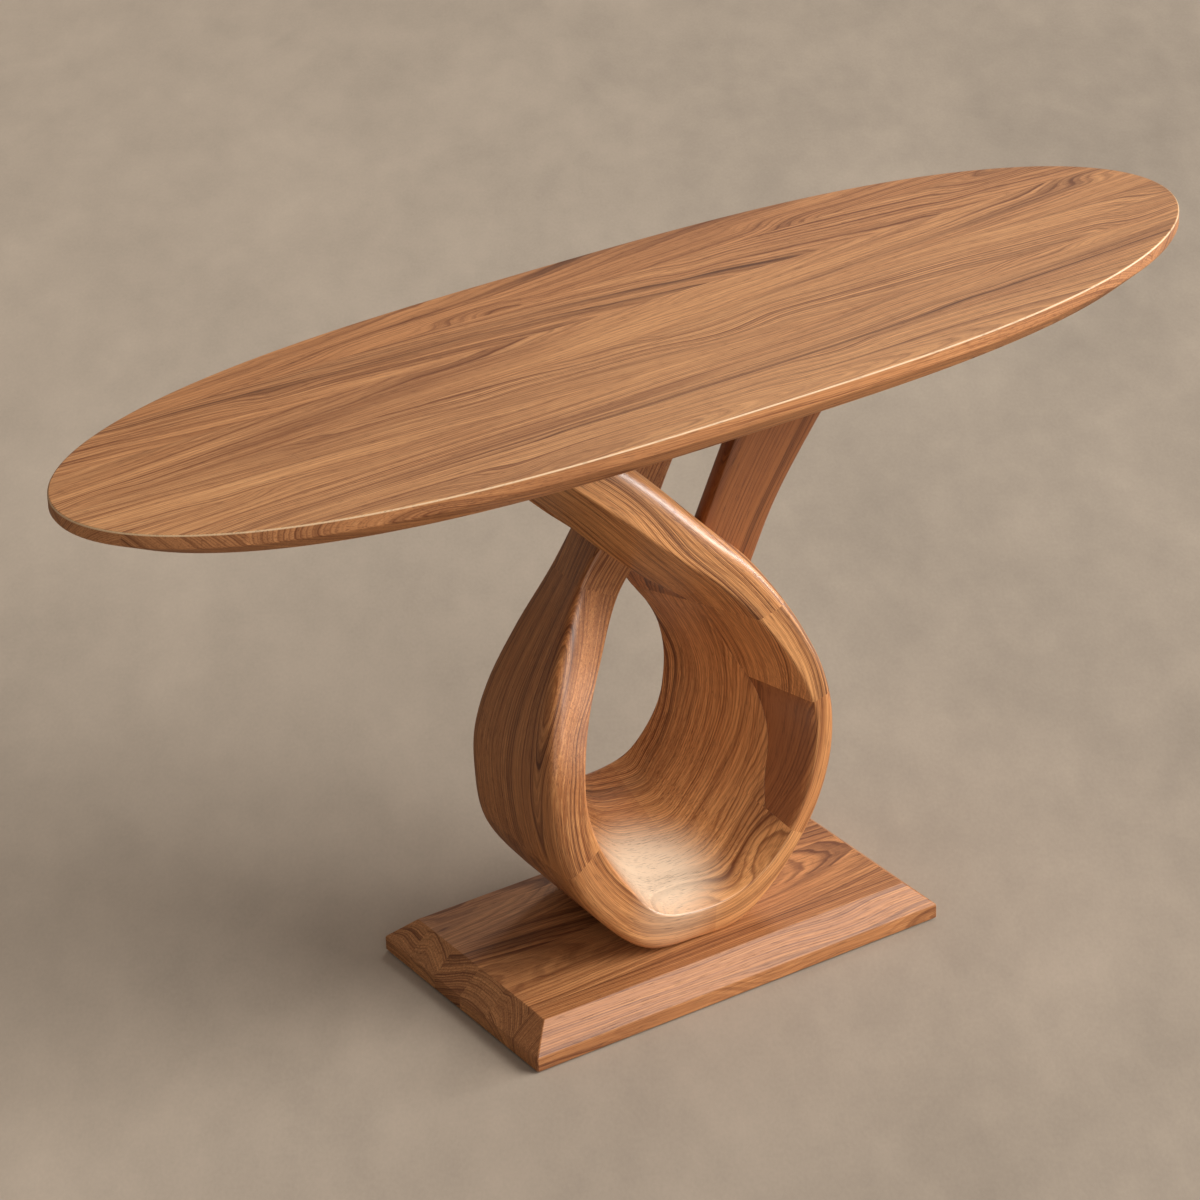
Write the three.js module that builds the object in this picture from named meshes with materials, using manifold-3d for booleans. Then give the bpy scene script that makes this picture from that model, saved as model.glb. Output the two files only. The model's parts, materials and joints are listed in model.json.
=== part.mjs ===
import * as THREE from 'three';
import { mergeVertices } from 'three/addons/utils/BufferGeometryUtils.js';
import Module from 'manifold-3d';

// Pedestal console table in walnut. Millimetres, +Z up, origin on the floor under the middle.
// +X runs along the top and -Y is the front.

// Overall sizes
const tableHeight = 760;
const topLength = 1432;
const topWidth = 456;
const topThickness = 34;
const plinthLength = 553;
const plinthWidth = 323;
const plinthThickness = 44.5;
const padThickness = 2;

// Top: rounded arris, upright band, under-bevel
const topArris = 1.6;
const topBand = 13;
const topFrontBevelIn = 13;
const topEndBevelIn = 37;
const topEndPower = 2.87;
const topSidePower = 2;
const topOutlineSteps = 96;
const boardCount = 6;

// Plinth
const plinthEdgeHeight = 17.5;
const plinthBevelIn = 28.5;
const plinthArris = 1.2;
const staveCount = 6;

// Pedestal
const loopHalfWidth = 200;
const bandHalfDepth = 104;
const joint = 0.3;
const weldReach = 0.0001;
const ringSteps = 4;
const cornerSteps = 2;
const sideShare = 0.45;
const laminationShare = -0.06;
const glueSoftnessShare = 0.01;
const halvings = 24;

// Steelwork
const plateMargin = 26;
const plateWidth = 92;
const plateThickness = 4;
const plateCorner = 10;
const screwShank = 4.5;
const screwHead = 9;
const screwHeadHeight = 2.6;
const screwLength = 24;
const screwInset = 11;
const armScrewShank = 6;
const armScrewHead = 12;
const armScrewHeadHeight = 3.4;
const armScrewLength = 28;
const boltShank = 8;
const boltHead = 14;
const boltHeadHeight = 5;
const washerWidth = 22;
const washerThickness = 1.6;
const insertWidth = 12;
const insertLength = 16;
const boltSpacing = 110;
const counterboreWidth = 26;
const counterboreDepth = 10;
const holeClearance = 0.4;
const insertTipClearance = 6;
const padWidth = 30;
const padInset = 34;
const roundSides = 16;
const overrun = 20;

const plinthTop = padThickness + plinthThickness;
const topUnderside = tableHeight - topThickness;
const pedestalHeight = topUnderside - plinthTop;

const wasm = await Module();
wasm.setup();

const walnutTop = { color: 0xb98157, roughness: 0.42, metalness: 0 };
const walnutPedestal = { color: 0x99602f, roughness: 0.4, metalness: 0 };
const walnutPlinth = { color: 0x7c4b2c, roughness: 0.45, metalness: 0 };
const steel = { color: 0x8d8f92, roughness: 0.35, metalness: 0.9 };
const brass = { color: 0xb5934f, roughness: 0.35, metalness: 0.9 };
const felt = { color: 0x2b2a29, roughness: 0.95, metalness: 0 };

const table = new THREE.Group();

// Solids and booleans
function toSolid(geometry) {
  const bare = geometry.index ? geometry.toNonIndexed() : geometry.clone();
  for (const name of Object.keys(bare.attributes)) {
    if (name !== 'position') bare.deleteAttribute(name);
  }
  const merged = mergeVertices(bare, weldReach);
  return new wasm.Manifold(new wasm.Mesh({
    numProp: 3,
    vertProperties: new Float32Array(merged.attributes.position.array),
    triVerts: new Uint32Array(merged.index.array),
  }));
}

function toGeometry(solid) {
  const mesh = solid.getMesh();
  const geometry = new THREE.BufferGeometry();
  geometry.setAttribute('position', new THREE.BufferAttribute(mesh.vertProperties, 3));
  geometry.setIndex(new THREE.BufferAttribute(mesh.triVerts, 1));
  geometry.computeVertexNormals();
  return geometry;
}

function place(name, solid, look) {
  const mesh = new THREE.Mesh(toGeometry(solid), new THREE.MeshStandardMaterial(look));
  mesh.name = name;
  table.add(mesh);
}

function blockBetween(low, high) {
  const size = high.map((value, axis) => value - low[axis]);
  const geometry = new THREE.BoxGeometry(...size);
  geometry.translate(...low.map((value, axis) => value + size[axis] / 2));
  return toSolid(geometry);
}

// Six times the volume inside a set of faces, negative when they point inwards
function signedVolume(points, faces) {
  let total = 0;
  for (let i = 0; i < faces.length; i += 3) {
    const [a, b, c] = [points[faces[i]], points[faces[i + 1]], points[faces[i + 2]]];
    total += a.dot(b.clone().cross(c));
  }
  return total;
}

// A closed skin through rings of equal count, capped at both ends
function skin(rings) {
  const count = rings[0].length;
  const points = rings.flat();
  const faces = [];
  for (let ring = 0; ring < rings.length - 1; ring += 1) {
    for (let i = 0; i < count; i += 1) {
      const a = ring * count + i;
      const b = ring * count + ((i + 1) % count);
      faces.push(a, b, b + count, a, b + count, a + count);
    }
  }
  for (const [ring, flip] of [[0, true], [rings.length - 1, false]]) {
    const middle = rings[ring].reduce((sum, p) => sum.add(p), new THREE.Vector3()).divideScalar(count);
    points.push(middle);
    for (let i = 0; i < count; i += 1) {
      const a = ring * count + i;
      const b = ring * count + ((i + 1) % count);
      faces.push(...(flip ? [points.length - 1, b, a] : [points.length - 1, a, b]));
    }
  }
  const geometry = new THREE.BufferGeometry();
  geometry.setAttribute('position', new THREE.Float32BufferAttribute(points.flatMap((p) => p.toArray()), 3));
  geometry.setIndex(signedVolume(points, faces) < 0 ? faces.reverse() : faces);
  return toSolid(geometry);
}

// Table top: a long oval whose ends are fuller than an ellipse
function topOutline(insetX, insetY, z) {
  const ring = [];
  for (let i = 0; i < topOutlineSteps; i += 1) {
    const turn = (2 * Math.PI * i) / topOutlineSteps;
    const across = Math.sign(Math.cos(turn)) * Math.abs(Math.cos(turn)) ** (2 / topEndPower);
    const along = Math.sign(Math.sin(turn)) * Math.abs(Math.sin(turn)) ** (2 / topSidePower);
    ring.push(new THREE.Vector3(
      (topLength / 2 - insetX) * across,
      (topWidth / 2 - insetY) * along,
      z,
    ));
  }
  return ring;
}

function topSolid() {
  const bevelTop = tableHeight - topArris - topBand;
  return skin([
    topOutline(topEndBevelIn, topFrontBevelIn, topUnderside),
    topOutline(0, 0, bevelTop),
    topOutline(0, 0, tableHeight - topArris),
    topOutline(topArris, topArris, tableHeight),
  ]);
}

function plinthOutline(inset, z) {
  const x = plinthLength / 2 - inset;
  const y = plinthWidth / 2 - inset;
  return [[-x, -y], [x, -y], [x, y], [-x, y]].map(([px, py]) => new THREE.Vector3(px, py, z));
}

function plinthSolid() {
  return skin([
    plinthOutline(plinthArris, padThickness),
    plinthOutline(0, padThickness + plinthArris),
    plinthOutline(0, padThickness + plinthEdgeHeight),
    plinthOutline(plinthBevelIn, plinthTop),
  ]);
}

// Pedestal limbs. Each station gives the corners of the band as shares: x of the loop's half width,
// y of the band's half depth, z of the pedestal's height, and the corner's softness as a share of
// the half depth. Order: front inner, front outer, back outer, back inner lip and, where the inner
// face breaks, its crease. A limb's first and last stations may only lead its curves in and out.
const rightBandShares = [
  [[-0.08, -1, 0.062, 0.03], [-0.08, -0.93, 0, 0.1], [-0.08, 1, 0, 0.1], [-0.08, 0.96, 0.2, 0.04],
    [-0.08, 0.7, 0.178, 0.03]],
  [[0.2, -1, 0.07, 0.03], [0.22, -0.94, 0.004, 0.1], [0.22, 1, 0.008, 0.1], [0.11, 0.96, 0.213, 0.04],
    [0.13, 0.7, 0.19, 0.03]],
  [[0.45, -1, 0.11, 0.03], [0.53, -0.97, 0.078, 0.1], [0.52, 1, 0.08, 0.1], [0.24, 0.96, 0.246, 0.04],
    [0.27, 0.7, 0.225, 0.03]],
  [[0.64, -1, 0.19, 0.03], [0.76, -0.99, 0.18, 0.1], [0.72, 1, 0.17, 0.1], [0.345, 0.96, 0.295, 0.04],
    [0.385, 0.7, 0.272, 0.03]],
  [[0.73, -1, 0.275, 0.03], [0.865, -1, 0.275, 0.11], [0.81, 0.97, 0.265, 0.1], [0.382, 0.96, 0.345, 0.04],
    [0.427, 0.7, 0.325, 0.03]],
  [[0.745, -1, 0.352, 0.03], [0.88, -1, 0.36, 0.15], [0.81, 0.93, 0.36, 0.1], [0.383, 0.95, 0.39, 0.04],
    [0.435, 0.7, 0.378, 0.03]],
  [[0.67, -1, 0.42, 0.03], [0.835, -1, 0.435, 0.24], [0.73, 0.9, 0.44, 0.1], [0.342, 0.92, 0.442, 0.04],
    [0.392, 0.68, 0.432, 0.03]],
  [[0.54, -1, 0.492, 0.03], [0.74, -1, 0.507, 0.36], [0.59, 0.82, 0.51, 0.1], [0.225, 0.78, 0.5, 0.04],
    [0.272, 0.61, 0.497, 0.03]],
  [[0.36, -1, 0.568, 0.03], [0.6, -1, 0.585, 0.46], [0.4, 0.7, 0.587, 0.1], [0.075, 0.64, 0.556, 0.04],
    [0.11, 0.56, 0.555, 0.03]],
  [[0.12, -1, 0.65, 0.03], [0.39, -0.98, 0.67, 0.5], [0.2, 0.62, 0.68, 0.1], [-0.1, 0.56, 0.63, 0.04],
    [-0.08, 0.5, 0.63, 0.03]],
];
const leftBandShares = [
  [[-0.35, -1, 0.085, 0.03], [-0.4, -0.95, 0.014, 0.12], [-0.4, 1, 0.016, 0.1], [-0.29, 0.96, 0.203, 0.04],
    [-0.27, 0.7, 0.183, 0.03]],
  [[-0.56, -1, 0.16, 0.03], [-0.72, -1, 0.1, 0.15], [-0.68, 1, 0.1, 0.1], [-0.45, 0.97, 0.22, 0.04],
    [-0.44, 0.74, 0.205, 0.03]],
  [[-0.73, -0.99, 0.25, 0.03], [-0.94, -1, 0.205, 0.18], [-0.87, 1, 0.19, 0.1], [-0.56, 0.98, 0.265, 0.04],
    [-0.59, 0.78, 0.255, 0.03]],
  [[-0.79, -0.96, 0.32, 0.03], [-1.03, -0.97, 0.31, 0.2], [-0.915, 1, 0.285, 0.1], [-0.62, 1, 0.325, 0.04],
    [-0.66, 0.8, 0.32, 0.03]],
  [[-0.78, -0.9, 0.385, 0.03], [-1.03, -0.92, 0.395, 0.22], [-0.9, 1, 0.36, 0.1], [-0.62, 1, 0.387, 0.04],
    [-0.66, 0.82, 0.385, 0.03]],
  [[-0.67, -0.68, 0.46, 0.03], [-0.93, -0.7, 0.49, 0.22], [-0.8, 1, 0.435, 0.1], [-0.53, 1, 0.462, 0.04],
    [-0.57, 0.85, 0.46, 0.03]],
  [[-0.49, -0.4, 0.53, 0.03], [-0.75, -0.42, 0.575, 0.18], [-0.6, 1, 0.52, 0.1], [-0.36, 1, 0.54, 0.04],
    [-0.4, 0.88, 0.54, 0.03]],
  [[-0.27, -0.12, 0.613, 0.03], [-0.53, -0.14, 0.655, 0.12], [-0.34, 1, 0.61, 0.1], [-0.12, 1, 0.62, 0.04],
    [-0.16, 0.9, 0.62, 0.03]],
  [[-0.06, -0.08, 0.69, 0.03], [-0.3, -0.08, 0.74, 0.1], [-0.1, 1, 0.71, 0.1], [0.1, 1, 0.69, 0.04],
    [0.06, 0.92, 0.69, 0.03]],
];
const frontLeftArmShares = [
  [[0.54, -1, 0.492, 0.03], [0.74, -1, 0.507, 0.36], [0.663, -0.06, 0.5085, 0.04],
    [0.383, -0.06, 0.495, 0.01]],
  [[0.36, -1, 0.568, 0.03], [0.6, -1, 0.585, 0.46], [0.489, -0.06, 0.586, 0.05],
    [0.209, -0.06, 0.56, 0.02]],
  [[0.12, -1, 0.65, 0.03], [0.39, -0.98, 0.67, 0.5], [0.29, -0.06, 0.68, 0.06],
    [-0.02, -0.06, 0.613, 0.03]],
  [[-0.15, -1, 0.722, 0.03], [0.13, -0.96, 0.745, 0.52], [0.04, -0.06, 0.765, 0.06],
    [-0.3, -0.06, 0.685, 0.03]],
  [[-0.53, -1, 0.83, 0.03], [-0.25, -0.93, 0.862, 0.52], [-0.33, -0.06, 0.88, 0.06],
    [-0.66, -0.08, 0.795, 0.03]],
  [[-0.86, -1, 0.918, 0.03], [-0.59, -0.92, 0.955, 0.5], [-0.66, -0.08, 0.965, 0.06],
    [-0.98, -0.12, 0.89, 0.03]],
  [[-1.25, -1, 1.025, 0.03], [-0.92, -0.9, 1.045, 0.48], [-0.98, -0.1, 1.05, 0.06],
    [-1.33, -0.16, 1.01, 0.03]],
];
const rightShoulderShares = [
  [[0.383, -0.06, 0.495, 0.02], [0.663, -0.06, 0.5085, 0.05], [0.59, 0.82, 0.51, 0.1],
    [0.225, 0.78, 0.5, 0.04]],
  [[0.209, -0.06, 0.56, 0.02], [0.489, -0.06, 0.586, 0.05], [0.4, 0.7, 0.587, 0.1],
    [0.075, 0.64, 0.556, 0.04]],
  [[0, -0.06, 0.615, 0.03], [0.29, -0.06, 0.68, 0.06], [0.2, 0.62, 0.68, 0.1], [-0.1, 0.58, 0.632, 0.04]],
  [[-0.14, -0.06, 0.65, 0.03], [0.1, -0.06, 0.73, 0.06], [0.05, 0.6, 0.73, 0.1], [-0.18, 0.56, 0.66, 0.04]],
];
const backRightArmShares = [
  [[-0.49, -0.4, 0.53, 0.03], [-0.75, -0.42, 0.575, 0.18], [-0.6, 1, 0.52, 0.1], [-0.36, 1, 0.54, 0.04],
    [-0.4, 0.88, 0.54, 0.03]],
  [[-0.27, -0.12, 0.613, 0.03], [-0.53, -0.14, 0.655, 0.12], [-0.34, 1, 0.61, 0.1], [-0.12, 1, 0.62, 0.04],
    [-0.16, 0.9, 0.62, 0.03]],
  [[-0.06, -0.08, 0.69, 0.03], [-0.3, -0.08, 0.74, 0.1], [-0.1, 1, 0.71, 0.1], [0.1, 1, 0.69, 0.04],
    [0.06, 0.92, 0.69, 0.03]],
  [[0.12, 0.1, 0.765, 0.03], [-0.1, 0.1, 0.81, 0.1], [0.14, 1, 0.8, 0.1], [0.32, 1, 0.76, 0.04],
    [0.29, 0.93, 0.76, 0.03]],
  [[0.4, 0.25, 0.87, 0.03], [0.14, 0.25, 0.91, 0.1], [0.44, 1, 0.9, 0.1], [0.64, 1, 0.86, 0.04],
    [0.61, 0.94, 0.86, 0.03]],
  [[0.76, 0.32, 1.01, 0.03], [0.45, 0.32, 1.05, 0.1], [0.8, 1, 1.04, 0.1], [1.02, 1, 1.01, 0.04],
    [0.99, 0.94, 1.01, 0.03]],
];
const frontRightArmShares = [
  [[0.42, -0.74, 0.64, 0.16], [-0.01, -0.74, 0.69, 0.24], [0.09, -0.3, 0.69, 0.2],
    [0.42, -0.3, 0.64, 0.12]],
  [[0.62, -0.73, 0.753, 0.16], [0.1, -0.73, 0.759, 0.24], [0.21, -0.29, 0.759, 0.2],
    [0.62, -0.29, 0.753, 0.12]],
  [[0.96, -0.72, 0.887, 0.16], [0.33, -0.72, 0.898, 0.24], [0.45, -0.28, 0.898, 0.2],
    [0.96, -0.28, 0.887, 0.12]],
  [[1.34, -0.71, 1.02, 0.16], [0.59, -0.71, 1.04, 0.24], [0.72, -0.27, 1.04, 0.2],
    [1.34, -0.27, 1.02, 0.12]],
];
const backLeftArmShares = [
  [[-0.22, 0.08, 0.66, 0.04], [0, 0.08, 0.75, 0.05], [0, 0.66, 0.75, 0.06], [-0.2, 0.66, 0.66, 0.04]],
  [[-0.42, 0.08, 0.725, 0.04], [-0.16, 0.08, 0.81, 0.05], [-0.14, 0.66, 0.81, 0.06],
    [-0.4, 0.66, 0.725, 0.04]],
  [[-0.66, 0.08, 0.79, 0.04], [-0.32, 0.08, 0.87, 0.05], [-0.3, 0.68, 0.87, 0.06],
    [-0.62, 0.68, 0.79, 0.04]],
  [[-0.98, 0.08, 0.885, 0.04], [-0.62, 0.08, 0.955, 0.05], [-0.6, 0.7, 0.955, 0.06],
    [-0.94, 0.7, 0.885, 0.04]],
  [[-1.38, 0.08, 1.01, 0.04], [-1.0, 0.08, 1.05, 0.05], [-0.98, 0.72, 1.05, 0.06],
    [-1.34, 0.74, 1.01, 0.04]],
];

// Stations along the loop at which its pieces end
const loopStartStep = 1;
const leftSideStep = 3.5;
const footLeftStep = 6;
const footRightStep = 9.4;
const strandStep = 11.55;
const strandLeadStep = 0.2;
const cutLeadStep = 0.006;
const frontStrandStep = 14.4;
const loopEndStep = 17;

// Depth of the glue line inside the loop's right side, station by station to the loop's last
const glueShares = [-0.9, -0.8, -0.49, -0.4, -0.24, -0.06, -0.06, -0.06, -0.06];

function onGlueLine(from, to, y) {
  const share = (y - from[1]) / (to[1] - from[1]);
  return [from[0] + (to[0] - from[0]) * share, y, from[2] + (to[2] - from[2]) * share, glueSoftnessShare];
}

function frontOfGlue([frontInner, frontOuter, backOuter, , crease], y) {
  return [frontInner, frontOuter, onGlueLine(frontOuter, backOuter, y), onGlueLine(frontInner, crease, y)];
}

function cornerPoint([x, y, z]) {
  return new THREE.Vector3(x * loopHalfWidth, y * bandHalfDepth, plinthTop + z * pedestalHeight);
}

// Corner curves through the stations
function limbCurves(shares) {
  return shares[0].map((_, corner) => new THREE.CatmullRomCurve3(
    shares.map((station) => cornerPoint(station[corner])),
    false,
    'centripetal',
  ));
}

// A corner's softness between stations
function softnessAt(shares, corner, at) {
  const place = at * (shares.length - 1);
  const before = Math.min(Math.floor(place), shares.length - 2);
  const low = shares[before][corner][3];
  const high = shares[before + 1][corner][3];
  return (low + (high - low) * (place - before)) * bandHalfDepth;
}

// A section with rounded corners, grown outwards by the given amount
function sectionRing(corners, softness, grow) {
  const count = corners.length;
  const axis = corners[2].clone().sub(corners[0]).cross(corners[3].clone().sub(corners[1]));
  const outwards = corners.map((p, i) => (
    corners[(i + 1) % count].clone().sub(p).cross(axis).normalize()
  ));
  const grown = corners.map((p, i) => {
    const before = outwards[(i + count - 1) % count];
    const after = outwards[i];
    return p.clone().addScaledVector(before.clone().add(after), grow / (1 + before.dot(after)));
  });
  return grown.flatMap((p, i) => {
    const before = grown[(i + count - 1) % count].clone().sub(p);
    const after = grown[(i + 1) % count].clone().sub(p);
    const reachBefore = Math.min(softness[i], before.length() * sideShare);
    const reachAfter = Math.min(softness[i], after.length() * sideShare);
    const start = p.clone().addScaledVector(before.normalize(), reachBefore);
    const end = p.clone().addScaledVector(after.normalize(), reachAfter);
    const bend = new THREE.QuadraticBezierCurve3(start, p, end);
    return bend.getPoints(cornerSteps);
  });
}

function limbRings(shares, from, to, grow) {
  const curves = limbCurves(shares);
  const steps = Math.max(2, Math.round((to - from) * (shares.length - 1) * ringSteps));
  const rings = [];
  for (let i = 0; i <= steps; i += 1) {
    const at = from + ((to - from) * i) / steps;
    const softness = curves.map((_, corner) => softnessAt(shares, corner, at));
    rings.push(sectionRing(curves.map((curve) => curve.getPoint(at)), softness, grow));
  }
  return rings;
}

// Part of a limb between two stations, shortened at each glued end by the joint
function limb(shares, first, last, grow = 0) {
  const run = shares.length - 1;
  const reach = Math.min(...limbCurves(shares).map((curve) => curve.getLength() / run));
  const trim = grow > 0 ? 0 : joint / reach / run;
  return skin(limbRings(shares, first / run + trim, last / run - trim, grow));
}

// Height at which a limb's corner curve passes, found by halving
function curveAtHeight(curve, height) {
  let low = 0;
  let high = 1;
  for (let i = 0; i < halvings; i += 1) {
    const middle = (low + high) / 2;
    if (curve.getPoint(middle).z < height) low = middle;
    else high = middle;
  }
  return curve.getPoint(low);
}

function sectionAtHeight(shares, height) {
  const corners = limbCurves(shares).map((curve) => curveAtHeight(curve, height));
  return new THREE.Box3().setFromPoints(corners);
}

function roundPart(profile, x, y, z) {
  const geometry = new THREE.LatheGeometry(profile.map(([r, h]) => new THREE.Vector2(r, h)), roundSides);
  geometry.rotateX(Math.PI / 2);
  geometry.translate(x, y, z);
  return toSolid(geometry);
}

// Countersunk screw pointing up (way 1) or down (way -1) from its head's face
function screwProfile(shank, head, headHeight, length, grow, way) {
  const profile = [
    [0, -grow],
    [head / 2 + grow, -grow],
    [head / 2 + grow, 0],
    [shank / 2 + grow, headHeight],
    [shank / 2 + grow, length - shank],
    [0, length + grow],
  ];
  return way > 0 ? profile : profile.map(([r, h]) => [r, -h]).reverse();
}

function topScrew(x, y, grow) {
  const profile = screwProfile(screwShank, screwHead, screwHeadHeight, screwLength, grow, 1);
  return roundPart(profile, x, y, topUnderside);
}

function armScrew(x, y, grow) {
  const profile = screwProfile(armScrewShank, armScrewHead, armScrewHeadHeight, armScrewLength, grow, -1);
  return roundPart(profile, x, y, topUnderside + plateThickness);
}

function plateSolid(box, grow) {
  const middle = box.getCenter(new THREE.Vector3());
  const half = new THREE.Vector2((box.max.x - box.min.x) / 2 + plateMargin + grow, plateWidth / 2 + grow);
  const shape = new THREE.Shape();
  shape.moveTo(-half.x + plateCorner, -half.y);
  shape.absarc(half.x - plateCorner, -half.y + plateCorner, plateCorner, -Math.PI / 2, 0);
  shape.absarc(half.x - plateCorner, half.y - plateCorner, plateCorner, 0, Math.PI / 2);
  shape.absarc(-half.x + plateCorner, half.y - plateCorner, plateCorner, Math.PI / 2, Math.PI);
  shape.absarc(-half.x + plateCorner, -half.y + plateCorner, plateCorner, Math.PI, Math.PI * 1.5);
  const depth = plateThickness + grow + (grow > 0 ? overrun : 0);
  const geometry = new THREE.ExtrudeGeometry(shape, { depth, bevelEnabled: false, curveSegments: ringSteps });
  geometry.translate(middle.x, middle.y, topUnderside - (grow > 0 ? overrun : 0));
  return toSolid(geometry);
}

function boltProfile(grow) {
  const headTop = counterboreDepth - washerThickness;
  return [
    [0, headTop - boltHeadHeight - grow],
    [boltHead / 2 + grow, headTop - boltHeadHeight - grow],
    [boltHead / 2 + grow, headTop],
    [boltShank / 2 + grow, headTop],
    [boltShank / 2 + grow, plinthThickness + insertLength + grow],
    [0, plinthThickness + insertLength + grow],
  ];
}

function ringProfile(inner, outer, low, high) {
  return [[inner, low], [outer, low], [outer, high], [inner, high], [inner, low]];
}

const farX = topLength;
const farY = topWidth;
const slabBetween = (lowY, highY) => blockBetween(
  [-farX, lowY, -overrun],
  [farX, highY, tableHeight + overrun],
);

// Edge-glued boards, cut from the shaped solid at straight glue lines
function placeBoards(prefix, solid, width, count, look) {
  for (let i = 0; i < count; i += 1) {
    const low = i === 0 ? -farY : -width / 2 + (i * width) / count;
    const high = i === count - 1 ? farY : -width / 2 + ((i + 1) * width) / count;
    place(`${prefix}_${i + 1}`, solid.intersect(slabBetween(low, high)), look);
  }
}

// Loop: the left side down to the foot and up the right side, whose upper part is laminated in depth
const loopShares = [...leftBandShares.slice().reverse(), ...rightBandShares];
const strandFirst = loopShares.length - glueShares.length;
const strandShares = loopShares.slice(strandFirst);
const frontStrandShares = strandShares.map((station, i) => frontOfGlue(station, glueShares[i]));
const arms = [
  ['front_left_arm', frontLeftArmShares],
  ['front_right_arm', frontRightArmShares],
  ['back_left_arm', backLeftArmShares],
  ['back_right_arm', backRightArmShares],
];

const aboveLanding = blockBetween([-farX, -farY, topUnderside], [farX, farY, tableHeight + overrun]);
const belowPlinthTop = blockBetween([-farX, -farY, -overrun], [farX, farY, plinthTop]);
const laminationY = laminationShare * bandHalfDepth;
const landings = new Map(arms.map(([name, shares]) => [name, sectionAtHeight(shares, topUnderside)]));
const anchors = new Map(arms.map(([name, shares]) => [
  name,
  sectionAtHeight(shares, topUnderside - armScrewLength / 2).getCenter(new THREE.Vector3()),
]));

function placeLimb(name, solid) {
  place(name, solid.subtract(aboveLanding).subtract(belowPlinthTop), walnutPedestal);
}

// Everything behind the glue plane between the front arm and the limbs it passes
function behindPlane(solid) {
  return solid.subtract(slabBetween(-farY, laminationY + joint));
}

function armFasteners(name, solid) {
  const anchor = anchors.get(name);
  return solid.subtract(armScrew(anchor.x, anchor.y, holeClearance));
}

const fromStation = (shares, first, grow) => limb(shares, first, shares.length - 1, grow);
const frontArm = fromStation(frontLeftArmShares, 1, 0).subtract(slabBetween(laminationY, farY));
const frontArmCut = fromStation(frontLeftArmShares, 1, joint);
const backArm = behindPlane(fromStation(backRightArmShares, 1, 0));
const backArmCut = fromStation(backRightArmShares, 1, joint);
const loopCut = limb(loopShares, strandStep, loopEndStep, joint);
const lowerCut = limb(loopShares, footRightStep, strandStep + cutLeadStep, joint);
const frontStrandCut = limb(
  frontStrandShares,
  strandStep - 2 * strandLeadStep - strandFirst,
  loopEndStep - strandFirst,
  joint,
);
const leftLoopCut = limb(loopShares, loopStartStep, leftSideStep, joint);

function insertHole(x, y) {
  const radius = insertWidth / 2 + holeClearance;
  const depth = insertLength + insertTipClearance;
  return roundPart([[0, -overrun], [radius, -overrun], [radius, depth], [0, depth]], x, y, plinthTop);
}

function placePedestal() {
  const boltX = rightBandShares[0][0][0] * loopHalfWidth;
  placeLimb('left_side_upper', limb(loopShares, loopStartStep, leftSideStep).subtract(frontArmCut));
  placeLimb('left_side_lower', limb(loopShares, leftSideStep, footLeftStep));
  placeLimb('foot', limb(loopShares, footLeftStep, footRightStep)
    .subtract(insertHole(boltX, -boltSpacing / 2)).subtract(insertHole(boltX, boltSpacing / 2)));
  placeLimb('right_side_lower', limb(loopShares, footRightStep, strandStep));
  placeLimb('right_front_lower', limb(
    frontStrandShares,
    strandStep - strandLeadStep - strandFirst,
    frontStrandStep - strandFirst,
  ).subtract(lowerCut));
  placeLimb('right_front_upper', limb(
    frontStrandShares,
    frontStrandStep - strandFirst,
    loopEndStep - strandFirst,
  ));
  placeLimb('right_side_upper', limb(loopShares, strandStep - strandLeadStep, loopEndStep)
    .subtract(frontStrandCut).subtract(lowerCut));
  placeLimb('right_shoulder', behindPlane(fromStation(rightShoulderShares, 1, 0))
    .subtract(backArmCut).subtract(leftLoopCut).subtract(loopCut));
  placeLimb('front_left_arm', armFasteners('front_left_arm', frontArm.subtract(loopCut)));
  placeLimb('back_right_arm', armFasteners('back_right_arm', backArm));
  placeLimb('back_left_arm', armFasteners('back_left_arm', behindPlane(fromStation(backLeftArmShares, 0, 0))
    .subtract(backArmCut).subtract(leftLoopCut)));
  placeLimb('front_right_arm', armFasteners('front_right_arm', fromStation(frontRightArmShares, 0, 0)
    .subtract(frontArmCut).subtract(loopCut)));
  return boltX;
}

// Plates let into the underside of the top, screwed up into it and down into each arm
function placePlates(top) {
  let cutTop = top;
  for (const [name] of arms) {
    const box = landings.get(name);
    const middle = box.getCenter(new THREE.Vector3());
    const anchor = anchors.get(name);
    const half = (box.max.x - box.min.x) / 2 + plateMargin - screwInset;
    let plate = plateSolid(box, 0).subtract(armScrew(anchor.x, anchor.y, holeClearance));
    cutTop = cutTop.subtract(plateSolid(box, holeClearance));
    place(`${name}_screw`, armScrew(anchor.x, anchor.y, 0), steel);
    let number = 0;
    for (const sideX of [-1, 1]) {
      for (const sideY of [-1, 1]) {
        number += 1;
        const x = middle.x + sideX * half;
        const y = middle.y + sideY * (plateWidth / 2 - screwInset);
        plate = plate.subtract(topScrew(x, y, holeClearance));
        cutTop = cutTop.subtract(topScrew(x, y, holeClearance));
        place(`${name}_plate_screw_${number}`, topScrew(x, y, 0), steel);
      }
    }
    place(`${name}_plate`, plate, steel);
  }
  return cutTop;
}

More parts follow.
